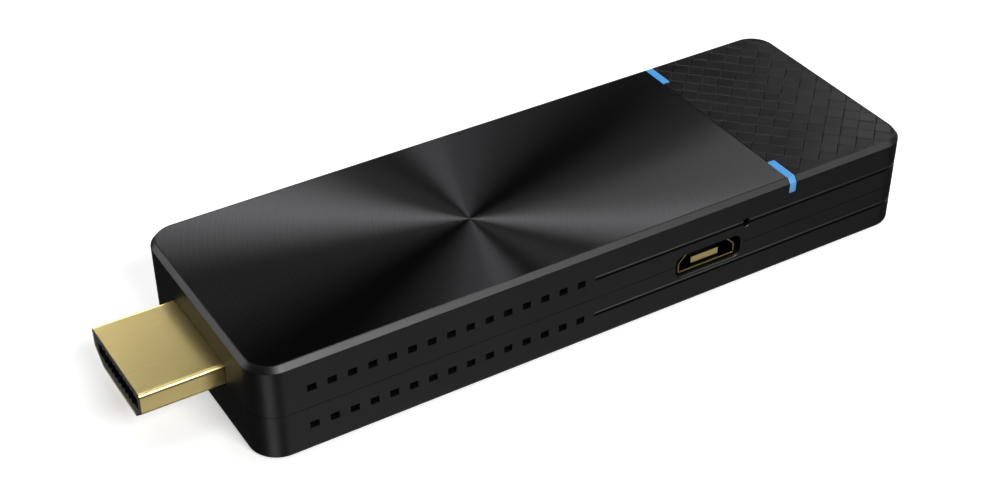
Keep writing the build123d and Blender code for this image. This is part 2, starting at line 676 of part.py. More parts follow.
def radio_can():
    length, width, height = RADIO_CAN
    front_edge = RADIO_FROM_FRONT - RADIO_BOARD[0] / 2
    place = (front_edge + RADIO_CAN_MARGIN + length / 2, RADIO_OFFSET)
    base = BOARD_TOP + RADIO_BOARD[2]
    hollow = (length - 2 * RADIO_CAN_SHEET, width - 2 * RADIO_CAN_SHEET, height)
    return chip(RADIO_CAN, *place, base) - chip(hollow, *place, base - RADIO_CAN_SHEET)


def lead_start():
    """Where the leads leave their plugs, measured from the front face."""
    return RADIO_FROM_FRONT + RADIO_BOARD[0] / 2


def lead_connectors():
    """Small sockets on the radio board and the plugs pushed on them."""
    from_front = lead_start() - LEAD_SOCKET[0] / 2
    base = BOARD_TOP + RADIO_BOARD[2]
    plug = (LEAD_SOCKET[0], LEAD_SOCKET[1], LEAD_PLUG_HEIGHT)
    sockets = [chip(LEAD_SOCKET, from_front, y, base) for y in LEAD_OFFSETS]
    plugs = [chip(plug, from_front, y, base + LEAD_SOCKET[2]) for y in LEAD_OFFSETS]
    return Compound(children=sockets), Compound(children=plugs)


def antenna_from_front():
    return BODY_LENGTH - ANTENNA_FROM_TAIL


def antenna_under():
    return CEILING - FOAM_THICKNESS - ANTENNA[2]


def antennas():
    """Two antenna plates with their feed blocks, and the foam that sticks them to the casing."""
    plates, foams = [], []
    under = antenna_under()
    lead_z = BOARD_TOP + RADIO_BOARD[2] + LEAD_SOCKET[2] + LEAD_PLUG_HEIGHT / 2
    for side in (-1, 1):
        place = (antenna_from_front(), side * ANTENNA_OFFSET)
        plate = chip(ANTENNA, *place, under)
        feed_x = FRONT_X + place[0] - ANTENNA[0] / 2
        across = (place[1] - FEED[1] / 2, place[1] + FEED[1] / 2)
        plate += block((feed_x, feed_x + FEED[0]), across, (lead_z - LEAD_RADIUS, under))
        plates.append(plate)
        foam = (ANTENNA[0] - 2 * FOAM_MARGIN, ANTENNA[1] - 2 * FOAM_MARGIN, FOAM_THICKNESS)
        foams.append(chip(foam, *place, under + ANTENNA[2]))
    return Compound(children=plates), Compound(children=foams)


def tube(points, radius):
    """Round lead along straight runs joined by arcs as large as the runs allow."""
    bends = []
    for before, at, after in zip(points, points[1:], points[2:]):
        first, second = Vector(*at) - Vector(*before), Vector(*after) - Vector(*at)
        turn = first.get_angle(second)
        bends.append(0.45 * min(first.length, second.length) / tan(radians(turn) / 2))
    path = FilletPolyline(*points, radius=bends)
    return sweep(Plane(path @ 0, z_dir=path % 0) * Circle(radius), path=path)


def antenna_leads():
    """Leads from the radio module to the feed of each antenna plate, held at both ends."""
    z = BOARD_TOP + RADIO_BOARD[2] + LEAD_SOCKET[2] + LEAD_PLUG_HEIGHT / 2
    start = FRONT_X + lead_start()
    end = FRONT_X + antenna_from_front() - ANTENNA[0] / 2
    last_run = (BOARD_END_X + end) / 2
    near, far = LEAD_OFFSETS
    routes = (
        ((start, near), (start + LEAD_FIRST_RUN, near), (BOARD_END_X, LEAD_CROSSING_OFFSET),
         (last_run, -ANTENNA_OFFSET), (end, -ANTENNA_OFFSET)),
        ((start, far), (BOARD_END_X, far), (last_run, ANTENNA_OFFSET), (end, ANTENNA_OFFSET)))
    return Compound(children=[tube([(x, y, z) for x, y in route], LEAD_RADIUS) for route in routes])


# Every node, by name

def build():
    spun, textured, films = top_panels()
    contacts = plug_contacts()
    pins = socket_contacts()
    processor, pad = processor_stack()
    sockets, plugs = lead_connectors()
    plates, foams = antennas()
    memory = [chip(MEMORY_CHIP, reach, MEMORY_OFFSET, BOARD_TOP) for reach in MEMORY_FROM_FRONT]
    power_base = BOARD_UNDER - POWER_CHIP[2]
    return {
        "upper_casing": upper_casing(),
        "lower_casing": lower_casing(),
        "spun_panel": spun,
        "textured_panel": textured,
        "panel_adhesive": films,
        "light_guides": light_guides(),
        "blue_leds": blue_leds(),
        "plug_shell": plug_shell(),
        "plug_insulator": plug_insulator(contacts),
        "plug_contacts": contacts,
        "socket_shell": socket_shell(),
        "socket_insulator": socket_insulator(pins),
        "socket_contacts": pins,
        "socket_tongue_cap": tongue_cap(),
        "main_board": main_board(),
        "board_screws": board_screws(),
        "processor": processor,
        "thermal_pad": pad,
        "heat_sink": heat_sink(),
        "memory_chips": Compound(children=memory),
        "flash_chip": chip(FLASH_CHIP, PROCESSOR_FROM_FRONT, FLASH_OFFSET, BOARD_TOP),
        "power_chip": chip(POWER_CHIP, *POWER_CHIP_PLACE, power_base),
        "power_coils": power_coils(),
        "capacitors": capacitors(),
        "clock_crystal": chip(CRYSTAL, *CRYSTAL_PLACE, BOARD_TOP),
        "radio_board": chip(RADIO_BOARD, RADIO_FROM_FRONT, RADIO_OFFSET, BOARD_TOP),
        "radio_can": radio_can(),
        "lead_sockets": sockets,
        "lead_plugs": plugs,
        "antenna_leads": antenna_leads(),
        "antenna_plates": plates,
        "antenna_foam": foams,
        "reset_switch_case": reset_switch_case(),
        "reset_plunger": reset_plunger(),
    }


os.makedirs("parts", exist_ok=True)
for name, shape in build().items():
    export_step(shape, f"parts/{name}.step")
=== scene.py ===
import json
from math import atan2, cos, radians, sin, sqrt, tan

import bmesh
import bpy
from mathutils import Matrix, Vector

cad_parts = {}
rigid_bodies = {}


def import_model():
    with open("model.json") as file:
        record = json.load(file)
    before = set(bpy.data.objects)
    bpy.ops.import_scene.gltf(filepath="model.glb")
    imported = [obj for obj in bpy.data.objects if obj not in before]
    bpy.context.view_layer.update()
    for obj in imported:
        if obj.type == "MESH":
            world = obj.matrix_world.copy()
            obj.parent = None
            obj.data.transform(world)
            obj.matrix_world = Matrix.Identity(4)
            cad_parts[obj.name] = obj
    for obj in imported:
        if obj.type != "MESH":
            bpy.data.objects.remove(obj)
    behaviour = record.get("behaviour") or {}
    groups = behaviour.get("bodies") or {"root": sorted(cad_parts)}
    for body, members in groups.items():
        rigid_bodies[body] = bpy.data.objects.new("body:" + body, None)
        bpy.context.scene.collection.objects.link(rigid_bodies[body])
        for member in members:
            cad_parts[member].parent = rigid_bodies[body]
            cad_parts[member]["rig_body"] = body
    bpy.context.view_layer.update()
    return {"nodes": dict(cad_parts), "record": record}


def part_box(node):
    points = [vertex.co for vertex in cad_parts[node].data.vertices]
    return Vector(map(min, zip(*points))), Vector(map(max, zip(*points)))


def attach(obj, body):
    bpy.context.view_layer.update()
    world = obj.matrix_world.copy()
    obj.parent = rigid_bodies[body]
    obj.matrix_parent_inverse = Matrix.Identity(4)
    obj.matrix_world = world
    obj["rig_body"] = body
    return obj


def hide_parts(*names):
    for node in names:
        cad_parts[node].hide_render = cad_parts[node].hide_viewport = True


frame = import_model()

# A streaming media stick: black moulded casing, spun top panel, tiled tail panel, side vents and
# grooves, gold display plug and small power socket. Everything is in metres, in the CAD frame:
# +X from the plug's mouth to the tail, +Y away from the power socket, +Z up.
MM = 0.001


# Sizes of the casing, all measured inwards from its outside or taken from the frame

CASING_LOW, CASING_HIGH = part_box("upper_casing")
FRONT_X, TAIL_X = CASING_LOW.x, CASING_HIGH.x
HALF_WIDTH = CASING_HIGH.y
TOP_Z = CASING_HIGH.z
SEAM_Z = CASING_LOW.z
CORNER_RADIUS = 3.6 * MM
CORNER_STEPS = 14
WALL = 1.2 * MM
FLOOR_THICKNESS = 1.2 * MM
TOP_PLATE = 1.0 * MM
FIT_GAP = 0.05 * MM
SEAM_GAP = (0.08 * MM, 0.06 * MM)          # shadow line at the seam, inwards and upright
FOOT_RADIUS = 0.4 * MM
RIM_CHAMFER = (0.55 * MM, 0.65 * MM)       # inwards and down
PANEL_INSET = 0.65 * MM
RECESS_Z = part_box("panel_adhesive")[0].z
LIP_INSET = 0.65 * MM
LIP_HEIGHT = 0.8 * MM

VENT_COUNT = 15
VENT_PITCH = 2.46 * MM
VENT_SIZE = (1.15 * MM, 1.0 * MM)          # along the casing and upright
VENT_EDGE = 0.03 * MM
FIRST_VENT = 6.45 * MM
VENT_BELOW_LEDGE = 0.14 * MM
GROOVE_START = 42.8 * MM
LEDGES = (3.48 * MM, 8.68 * MM)
GROOVE_DEPTH = 0.35 * MM
GROOVE_HEIGHT = 0.28 * MM
LEDGE_BEVEL = (0.095 * MM, 0.28 * MM)      # inwards, and down to the ledge

THROUGH = 1.0 * MM                         # how far a cutting solid stands past what it cuts


# Mesh helpers

def arc(centre, radius, start, end, steps):
    """Points of an arc about centre, from angle start to end, in degrees."""
    angles = [radians(start + (end - start) * i / steps) for i in range(steps + 1)]
    return [(centre[0] + radius * cos(a), centre[1] + radius * sin(a)) for a in angles]


def rounded(points, radii, steps=4):
    """A closed outline with its corners rounded; radii holds one radius for each point."""
    outline = []
    for i, (corner, radius) in enumerate(zip(points, radii)):
        here = Vector(corner)
        if not radius:
            outline.append(tuple(here))
            continue
        back = (Vector(points[i - 1]) - here).normalized()
        ahead = (Vector(points[(i + 1) % len(points)]) - here).normalized()
        half = back.angle(ahead) / 2
        middle = here + (back + ahead).normalized() * radius / sin(half)
        first = here + back * radius / tan(half) - middle
        last = here + ahead * radius / tan(half) - middle
        turn = first.angle_signed(last)
        first_angle = atan2(first.y, first.x)
        for k in range(steps + 1):
            angle = first_angle - turn * k / steps
            outline.append((middle.x + radius * cos(angle), middle.y + radius * sin(angle)))
    return outline


def skin(bm, rings, around=True):
    """Quads between rings of as many vertices each; around joins the last vertex to the first."""
    count = len(rings[0])
    for low, high in zip(rings, rings[1:]):
        for i in range(count if around else count - 1):
            k = (i + 1) % count
            bm.faces.new((low[i], low[k], high[k], high[i]))


def ring(bm, points):
    return [bm.verts.new(point) for point in points]


def tube(bm, outlines):
    """Closed solid through a row of outlines of as many points, with flat ends."""
    rings = [ring(bm, outline) for outline in outlines]
    skin(bm, rings)
    bm.faces.new(rings[0][::-1])
    bm.faces.new(rings[-1])


def along_x(outline, x):
    return [(x, y, z) for y, z in outline]


def along_y(outline, y):
    return [(x, y, z) for x, z in outline]


def cut(bm, cutters, operation="DIFFERENCE"):
    """bm with the solids in cutters taken out of it, or with all but them taken out."""
    objects = []
    for source, name in ((bm, "blank"), (cutters, "cutters")):
        bmesh.ops.recalc_face_normals(source, faces=source.faces)
        mesh = bpy.data.meshes.new(name)
        source.to_mesh(mesh)
        source.free()
        objects.append(bpy.data.objects.new(name, mesh))
        bpy.context.scene.collection.objects.link(objects[-1])
    blank, tool = objects
    boolean = blank.modifiers.new("cut", "BOOLEAN")
    boolean.operation = operation
    boolean.solver = "EXACT"
    boolean.object = tool
    evaluated = blank.evaluated_get(bpy.context.evaluated_depsgraph_get())
    result = bmesh.new()
    result.from_mesh(evaluated.to_mesh())
    for used in objects:
        bpy.data.objects.remove(used)
    bmesh.ops.remove_doubles(result, verts=result.verts, dist=MM / 2000)
    return result


def piece(bm, name, finish, node, soft_angle=17):
    """Object that stands for a CAD node: smooth where its faces turn gently, crisp elsewhere."""
    bmesh.ops.remove_doubles(bm, verts=bm.verts, dist=MM / 2000)
    bmesh.ops.recalc_face_normals(bm, faces=bm.faces)
    mesh = bpy.data.meshes.new(name)
    bm.to_mesh(mesh)
    bm.free()
    mesh.shade_smooth()
    mesh.set_sharp_from_angle(angle=radians(soft_angle))
    mesh.materials.append(finish)
    made = bpy.data.objects.new(name, mesh)
    bpy.context.scene.collection.objects.link(made)
    weighted = made.modifiers.new("even shading on flats", "WEIGHTED_NORMAL")
    weighted.keep_sharp = True
    cad = frame["nodes"][node]
    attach(made, cad["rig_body"])
    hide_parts(node)
    return made


SLOTS = {part["node"]: part["material_slot"] for part in frame["record"]["subparts"]}


# Outlines shared by the openings and by what sits in them

def grown(points, grow):
    """A convex outline, run through anticlockwise, moved outwards by grow."""
    moved = []
    for i, point in enumerate(points):
        sides = []
        for a, b in ((points[i - 1], point), (point, points[(i + 1) % len(points)])):
            along = (Vector(b) - Vector(a)).normalized()
            sides.append(Vector((along.y, -along.x)))
        first, last = sides
        moved.append(tuple(Vector(point) + (first + last) * grow / (1 + first.dot(last))))
    return moved


MOUTH_EDGE = 0.08 * MM                     # bevel round each opening of the casing
RIM_EDGE = 0.02 * MM                       # radius of the rim chamfer's upper edges
RIM_BLEND = 0.12 * MM                      # and of its lower one
SMALLEST_RADIUS = 0.05 * MM

PLUG_MOUTH_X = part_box("plug_shell")[0].x
PLUG_TOP_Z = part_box("plug_shell")[1].z
PLUG_BASE_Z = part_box("plug_shell")[0].z
PLUG_END_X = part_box("plug_shell")[1].x
PLUG_WIDTH = 13.9 * MM
PLUG_BASE_WIDTH = 9.6 * MM
PLUG_SIDE_HEIGHT = 2.6 * MM
PLUG_EDGE_RADIUS = 0.5 * MM
PLUG_SHEET = 0.3 * MM
PLUG_MOUTH_EDGE = 0.02 * MM
PLUG_GAP = 0.12 * MM
CARRIER_EDGE = 0.03 * MM
CARRIER_PAINTED_SHADE = (0.02 * MM, 0.08 * MM)      # where the face's own tone gives way to painted shade, behind the face


def plug_outline(grow=0.0):
    """The plug across its length: wide top, upright sides and slanting lower corners."""
    half, half_base = PLUG_WIDTH / 2, PLUG_BASE_WIDTH / 2
    side_z = PLUG_TOP_Z - PLUG_SIDE_HEIGHT
    points = [(-half_base, PLUG_BASE_Z), (half_base, PLUG_BASE_Z), (half, side_z), (half, PLUG_TOP_Z),
              (-half, PLUG_TOP_Z), (-half, side_z)]
    radius = max(PLUG_EDGE_RADIUS + grow, 2 * SMALLEST_RADIUS)
    return rounded(grown(points, grow), [radius] * len(points), 6)


SOCKET_LOW, SOCKET_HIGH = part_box("socket_shell")
SOCKET_CORNER_CUT = 1.2 * MM
SOCKET_SHEET = 0.25 * MM
SOCKET_LIP_RADIUS = 0.07 * MM
PLATING_FADE = (-0.03 * MM, 0.04 * MM)     # from the socket's mouth inwards
SOCKET_EDGE_RADIUS = 0.3 * MM
POCKET_GAPS = (0.6 * MM, 0.2 * MM, 0.15 * MM)      # at the sides, below and above
POCKET_CORNER_RADIUS = 1.1 * MM


def socket_outline(grow=0.0):
    """The power socket across its length: wide base and cut upper corners."""
    left, right, base, top = SOCKET_LOW.x, SOCKET_HIGH.x, SOCKET_LOW.z, SOCKET_HIGH.z
    corner = SOCKET_CORNER_CUT
    points = [(left, base), (right, base), (right, top - corner), (right - corner, top),
              (left + corner, top), (left, top - corner)]
    radius = max(SOCKET_EDGE_RADIUS + grow, SMALLEST_RADIUS)
    return rounded(grown(points, grow), [radius] * len(points), 5)


def pocket_outline(grow=0.0):
    """The hole round the power socket, with round corners."""
    side, below, above = POCKET_GAPS
    left, right = SOCKET_LOW.x - side - grow, SOCKET_HIGH.x + side + grow
    base, top = SOCKET_LOW.z - below - grow, SOCKET_HIGH.z + above + grow
    return rounded([(left, base), (right, base), (right, top), (left, top)],
                   [POCKET_CORNER_RADIUS + grow] * 4, 8)


PIN_HOLE_RADIUS = 0.55 * MM
PIN_HOLE_SIDES = 24


def pin_hole_outline(grow=0.0):
    low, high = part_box("reset_plunger")
    middle = (low + high) / 2
    last_angle = 360 - 360 / PIN_HOLE_SIDES
    return arc((middle.x, middle.z), PIN_HOLE_RADIUS + grow, 0, last_angle, PIN_HOLE_SIDES - 1)


GUIDE_LOW, GUIDE_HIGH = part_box("light_guides")
GUIDE_REACH = 4.5 * MM
GUIDE_DROP = 2.0 * MM
GUIDE_TOP_THICKNESS = 1.3 * MM
GUIDE_SIDE_THICKNESS = 0.8 * MM
GUIDE_LEG_FROM_SIDE = 2.4 * MM
GUIDE_LEG_THICKNESS = 1.0 * MM
GUIDE_EDGE = 0.07 * MM


def guide_outline(side, grow=0.0, past=0.0):
    """One light guide across the casing: a bar on top, one down the side and a leg to its lamp.
    past lets the outline of its slot stand out of the casing."""
    rim_in, rim_down = RIM_CHAMFER
    inner = HALF_WIDTH - GUIDE_REACH - grow
    under = TOP_Z - GUIDE_TOP_THICKNESS - grow
    side_inner = HALF_WIDTH - GUIDE_SIDE_THICKNESS - grow
    foot = TOP_Z - GUIDE_DROP - grow
    leg_outer = HALF_WIDTH - GUIDE_LEG_FROM_SIDE + grow
    leg_inner = leg_outer - GUIDE_LEG_THICKNESS - 2 * grow
    leg_foot = GUIDE_LOW.z - grow
    points = [
        (HALF_WIDTH + past, foot), (HALF_WIDTH + past, TOP_Z - rim_down + past),
        (HALF_WIDTH - rim_in + past, TOP_Z + past), (inner, TOP_Z + past), (inner, under),
        (leg_inner, under), (leg_inner, leg_foot), (leg_outer, leg_foot), (leg_outer, under),
        (side_inner, under), (side_inner, foot)]
    return [(side * y, z) for y, z in points]


# Materials

def linear(colour):
    """sRGB hex to linear RGBA."""
    channels = [int(colour[i:i + 2], 16) / 255 for i in (1, 3, 5)]
    return [c / 12.92 if c <= 0.04045 else ((c + 0.055) / 1.055) ** 2.4 for c in channels] + [1.0]


def add(tree, kind, inputs=(), **settings):
    """One node: settings are its own properties, inputs are (socket, value or output to link)."""
    made = tree.nodes.new(kind)
    for name, value in settings.items():
        setattr(made, name, value)
    for socket, value in inputs:
        if isinstance(value, bpy.types.NodeSocket):
            tree.links.new(value, made.inputs[socket])
        else:
            made.inputs[socket].default_value = value
    return made


def new_material(name):
    """New material with only an output; returns it, its node tree and the object coordinates."""
    material = bpy.data.materials.new(name)
    material.use_nodes = True
    tree = material.node_tree
    tree.nodes.clear()
    place = add(tree, "ShaderNodeTexCoord").outputs["Object"]
    return material, tree, place


def output(tree, shader):
    add(tree, "ShaderNodeOutputMaterial", [("Surface", shader.outputs[0])])


def ramp(tree, factor, low, high, colours):
    """Two colours across the part of factor between low and high."""
    made = add(tree, "ShaderNodeValToRGB", [("Fac", factor)])
    for element, position, colour in zip(made.color_ramp.elements, (low, high), colours):
        element.position = position
        element.color = linear(colour)
    return made.outputs["Color"]


def fine_surface(name, colours, grain, depth, rough, metal=0.0, mottle=3 * MM, **constant):
    """Slightly mottled colour, uneven gloss and a fine grain of the given size and depth."""
    material, tree, place = new_material(name)
    cloud = add(tree, "ShaderNodeTexNoise", [("Vector", place), ("Scale", 1 / mottle), ("Detail", 3.0)])
    grit = add(tree, "ShaderNodeTexNoise", [("Vector", place), ("Scale", 1 / grain), ("Detail", 2.0)])
    gloss = add(tree, "ShaderNodeMapRange", [
        ("Value", cloud.outputs["Fac"]), ("From Min", 0.3), ("From Max", 0.7),
        ("To Min", rough[0]), ("To Max", rough[1])])
    bump = add(tree, "ShaderNodeBump", [
        ("Height", grit.outputs["Fac"]), ("Distance", depth), ("Strength", 1.0)])
    shader = add(tree, "ShaderNodeBsdfPrincipled", [
        ("Base Color", ramp(tree, cloud.outputs["Fac"], 0.35, 0.65, colours)),
        ("Roughness", gloss.outputs["Result"]), ("Normal", bump.outputs["Normal"]),
        ("Metallic", metal)])
    for socket, value in constant.items():
        shader.inputs[socket.replace("_", " ")].default_value = value
    output(tree, shader)
    return material


def spark_textured_abs():
    """Black ABS from a spark-eroded mould: satin, with a very fine even grain. The real grain
    of 0.05 mm is drawn at 0.12 mm, so that it shows as a soft break-up of the highlights."""
    return fine_surface(
        "black_ABS_spark_textured", ("#080808", "#0b0b0b"), 0.12 * MM, 0.003 * MM, (0.37, 0.42),
        mottle=9 * MM, Specular_IOR_Level=0.5)


SPIN_CENTRE = (-6.2 * MM, -2.25 * MM)      # where the rings of the top panel are centred
RING_PITCH = 0.16 * MM                     # a turning mark of 0.05 mm, drawn coarser to show


def spun_anodised_aluminium():
    """Aluminium sheet spun against a brush and anodised black: fine rings about one centre,
    which stretch every reflection outwards, so that it shows as bright and dark fans."""
    material, tree, place = new_material("black_anodised_aluminium_spun")
    spoke = add(tree, "ShaderNodeVectorMath", [
        (0, place), (1, (*SPIN_CENTRE, TOP_Z))], operation="SUBTRACT").outputs["Vector"]
    flat = add(tree, "ShaderNodeVectorMath", [
        (0, spoke), (1, (1.0, 1.0, 0.0))], operation="MULTIPLY").outputs["Vector"]
    radius = add(tree, "ShaderNodeVectorMath", [(0, flat)], operation="LENGTH").outputs["Value"]
    outwards = add(tree, "ShaderNodeVectorMath", [(0, flat)], operation="NORMALIZE").outputs["Vector"]
    turns = add(tree, "ShaderNodeMath", [(0, radius), (1, 1 / RING_PITCH)], operation="MULTIPLY")
    rings = add(tree, "ShaderNodeTexNoise", [
        ("W", turns.outputs["Value"]), ("Scale", 1.0), ("Detail", 2.0)], noise_dimensions="1D")
    bump = add(tree, "ShaderNodeBump", [
        ("Height", rings.outputs["Fac"]), ("Distance", 0.0004 * MM), ("Strength", 1.0)])
    shader = add(tree, "ShaderNodeBsdfPrincipled", [
        ("Base Color", ramp(tree, rings.outputs["Fac"], 0.3, 0.7, ("#3c3c3e", "#454547"))),
        ("Metallic", 1.0), ("Roughness", 0.37), ("Anisotropic", 1.0), ("Tangent", outwards),
        ("Normal", bump.outputs["Normal"])])
    output(tree, shader)
    return material


def moulded_tiles_abs():
    """Glossier black ABS moulded in small slanting tiles: each tile's edge catches the light."""
    return fine_surface(
        "black_ABS_moulded_tiles", ("#0e0e0e", "#121212"), 0.1 * MM, 0.001 * MM, (0.28, 0.33),
        mottle=5 * MM, Specular_IOR_Level=0.34)


def blue_acrylic():
    """Translucent blue acrylic, lit from inside by its lamp: an even glow on top, duller and
    milkier down the side, where less of the lamp's light gets."""
    material, tree, place = new_material("blue_acrylic_moulded_lit")
    height = add(tree, "ShaderNodeSeparateXYZ", [("Vector", place)]).outputs["Z"]
    cloud = add(tree, "ShaderNodeTexNoise", [("Vector", place), ("Scale", 1 / MM), ("Detail", 2.0)])
    lit = add(tree, "ShaderNodeMapRange", [
        ("Value", height), ("From Min", TOP_Z - GUIDE_DROP), ("From Max", TOP_Z - RIM_CHAMFER[1] / 2)])
    uneven = add(tree, "ShaderNodeMath", [
        (0, cloud.outputs["Fac"]), (1, 0.12), (2, lit.outputs["Result"])], operation="MULTIPLY_ADD")
    glow = ramp(tree, uneven.outputs["Value"], 0.0, 1.0, ("#5b7896", "#4e9ddd"))
    shader = add(tree, "ShaderNodeBsdfPrincipled", [
        ("Base Color", linear("#0b2a4a")), ("Emission Color", glow), ("Emission Strength", 0.95),
        ("Roughness", 0.3), ("IOR", 1.49)])
    output(tree, shader)
    return material


DRAWING_LINE = 0.15 * MM                   # a line of 0.02 mm, drawn coarser to show
DRAWING_STRETCH = 0.05                     # the lines' width over their length
MIX_FACTOR, MIX_FIRST, MIX_SECOND, MIX_COLOUR = 0, 6, 7, 2     # the mix node's colour sockets


def gold_plated_steel():
    """Drawn steel sheet with a satin gold flash: pale gold with faint drawing lines along it.
    The flash thins out to dull olive on the socket's cut edge and inside it."""
    material, tree, place = new_material("gold_plated_steel_drawn")
    stretched = add(tree, "ShaderNodeVectorMath", [
        (0, place), (1, (DRAWING_STRETCH, 1.0, 1.0))], operation="MULTIPLY").outputs["Vector"]
    lines = add(tree, "ShaderNodeTexNoise", [
        ("Vector", stretched), ("Scale", 1 / DRAWING_LINE), ("Detail", 2.0)])
    gloss = add(tree, "ShaderNodeMapRange", [
        ("Value", lines.outputs["Fac"]), ("From Min", 0.3), ("From Max", 0.7),
        ("To Min", 0.28), ("To Max", 0.34)])
    bump = add(tree, "ShaderNodeBump", [
        ("Height", lines.outputs["Fac"]), ("Distance", 0.001 * MM), ("Strength", 1.0)])
    across = add(tree, "ShaderNodeSeparateXYZ", [("Vector", place)]).outputs["Y"]
    behind = add(tree, "ShaderNodeMapRange", [
        ("Value", across),
        ("From Min", SOCKET_LOW.y + PLATING_FADE[0]), ("From Max", SOCKET_LOW.y + PLATING_FADE[1])])
    in_socket = add(tree, "ShaderNodeMath", [(0, across), (1, SOCKET_HIGH.y)], operation="LESS_THAN")
    thin = add(tree, "ShaderNodeMath", [
        (0, behind.outputs["Result"]), (1, in_socket.outputs["Value"])], operation="MULTIPLY")
    plating = add(tree, "ShaderNodeMix", [
        (MIX_FACTOR, thin.outputs["Value"]),
        (MIX_FIRST, ramp(tree, lines.outputs["Fac"], 0.3, 0.7, ("#f2da90", "#f8e29c"))),
        (MIX_SECOND, linear("#4a4020"))], data_type="RGBA").outputs[MIX_COLOUR]
    shader = add(tree, "ShaderNodeBsdfPrincipled", [
        ("Base Color", plating),
        ("Metallic", 1.0), ("Roughness", gloss.outputs["Result"]),
        ("Normal", bump.outputs["Normal"])])
    output(tree, shader)
    return material


FIBRE = 0.1 * MM                           # a glass fibre of 0.01 mm, drawn coarser to show


def carrier_nylon():
    """Glass-filled nylon, faintly fibrous: charcoal on the plug's face; behind the face, painted
    shade makes it nearly black inside its slot and everywhere else."""
    material, tree, place = new_material("glass_filled_nylon_moulded")
    depth = add(tree, "ShaderNodeSeparateXYZ", [("Vector", place)]).outputs["X"]
    face_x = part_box("plug_insulator")[0].x
    inside = add(tree, "ShaderNodeMapRange", [
        ("Value", depth),
        ("From Min", face_x + CARRIER_PAINTED_SHADE[0]), ("From Max", face_x + CARRIER_PAINTED_SHADE[1])])
    fibres = add(tree, "ShaderNodeTexNoise", [
        ("Vector", place), ("Scale", 1 / FIBRE), ("Detail", 2.0)])
    bump = add(tree, "ShaderNodeBump", [
        ("Height", fibres.outputs["Fac"]), ("Distance", 0.003 * MM), ("Strength", 1.0)])
    shader = add(tree, "ShaderNodeBsdfPrincipled", [
        # Painted shade: the near black behind the face stands in for the shade inside the slot; the
        # charcoal is the nylon's own colour
        ("Base Color", ramp(tree, inside.outputs["Result"], 0.0, 1.0, ("#45454c", "#060607"))),
        ("Roughness", 0.5), ("Normal", bump.outputs["Normal"])])
    output(tree, shader)
    return material


def other_finishes():
    """Finishes of the pieces inside, by material slot. Grains finer than 0.05 mm are drawn at
    0.06 mm or more, so that they show."""
    return {
        # Clear acrylic film: milky and slightly uneven where it wets the panel
        "adhesive_film": fine_surface(
            "clear_acrylic_film", ("#c9c9c4", "#d6d6d2"), 0.3 * MM, 0.002 * MM, (0.3, 0.45)),
        # Water-clear epoxy over the lamp's die, tinted blue by its light
        "blue_lamp": fine_surface(
            "epoxy_lamp_lens", ("#5aa0ee", "#7cbaf6"), 0.2 * MM, 0.001 * MM, (0.1, 0.2),
            Emission_Color=linear("#4aa8f0"), Emission_Strength=1.5),
        # Phosphor bronze with bright hard gold where the contacts rub
        "gold_contact": fine_surface(
            "gold_plated_bronze_stamped", ("#ecd48a", "#f4e09e"), 0.08 * MM, 0.001 * MM,
            (0.18, 0.28), metal=1.0, mottle=1 * MM),
        # Fibreglass laminate under green solder mask: glassy, with the weave just showing
        "board_laminate": fine_surface(
            "fibreglass_laminate_solder_mask", ("#0f4023", "#17512e"), 0.45 * MM, 0.006 * MM,
            (0.25, 0.35)),
        "steel": fine_surface(
            "nickel_plated_steel_turned", ("#b9b6ae", "#c9c6bf"), 0.1 * MM, 0.002 * MM,
            (0.25, 0.35), metal=1.0),
        # Filled epoxy: matt, dark grey, with fine filler grains
        "chip_epoxy": fine_surface(
            "filled_epoxy_transfer_moulded", ("#1d1d1e", "#27272a"), 0.08 * MM, 0.003 * MM,
            (0.55, 0.7)),
        "silicone_pad": fine_surface(
            "silicone_pad_calendered", ("#9aa6b4", "#a9b5c2"), 0.3 * MM, 0.01 * MM, (0.6, 0.75)),
        "sink_aluminium": fine_surface(
            "aluminium_extruded", ("#b4b6b8", "#c2c4c6"), 0.12 * MM, 0.003 * MM, (0.3, 0.42),
            metal=1.0),
        # Sintered ferrite: dark, slightly sparkling grains
        "ferrite": fine_surface(
            "ferrite_sintered", ("#3a3a3c", "#48484b"), 0.1 * MM, 0.006 * MM, (0.5, 0.65)),
        "capacitor_ceramic": fine_surface(
            "barium_titanate_fired", ("#a98a64", "#b99a73"), 0.06 * MM, 0.002 * MM, (0.35, 0.5),
            mottle=0.6 * MM),
        "tinned_steel": fine_surface(
            "tin_plated_steel_pressed", ("#c4c4c0", "#d2d2ce"), 0.25 * MM, 0.003 * MM,
            (0.22, 0.36), metal=1.0),
        "lead_jacket": fine_surface(
            "fluoropolymer_jacket_extruded", ("#1b1b1b", "#252525"), 0.1 * MM, 0.003 * MM,
            (0.35, 0.45)),
        "foam": fine_surface(
            "polyethylene_foam_tape", ("#2e2e2e", "#404040"), 0.2 * MM, 0.03 * MM, (0.8, 0.95),
            mottle=0.4 * MM),
        "plunger_white": fine_surface(
            "acetal_moulded_natural", ("#dcd9cf", "#e6e3da"), 0.1 * MM, 0.002 * MM, (0.35, 0.45)),
    }


FINISHES = {
    "casing_plastic": spark_textured_abs(),
    "spun_black": spun_anodised_aluminium(),
    "tile_black": moulded_tiles_abs(),
    "blue_guide": blue_acrylic(),
    "gold_plate": gold_plated_steel(),
    "insulator_black": carrier_nylon(),
    **other_finishes(),
}
for cad_name, cad_node in frame["nodes"].items():
    for material_slot in cad_node.material_slots:
        material_slot.material = FINISHES[SLOTS[cad_name]]


# Casing halves

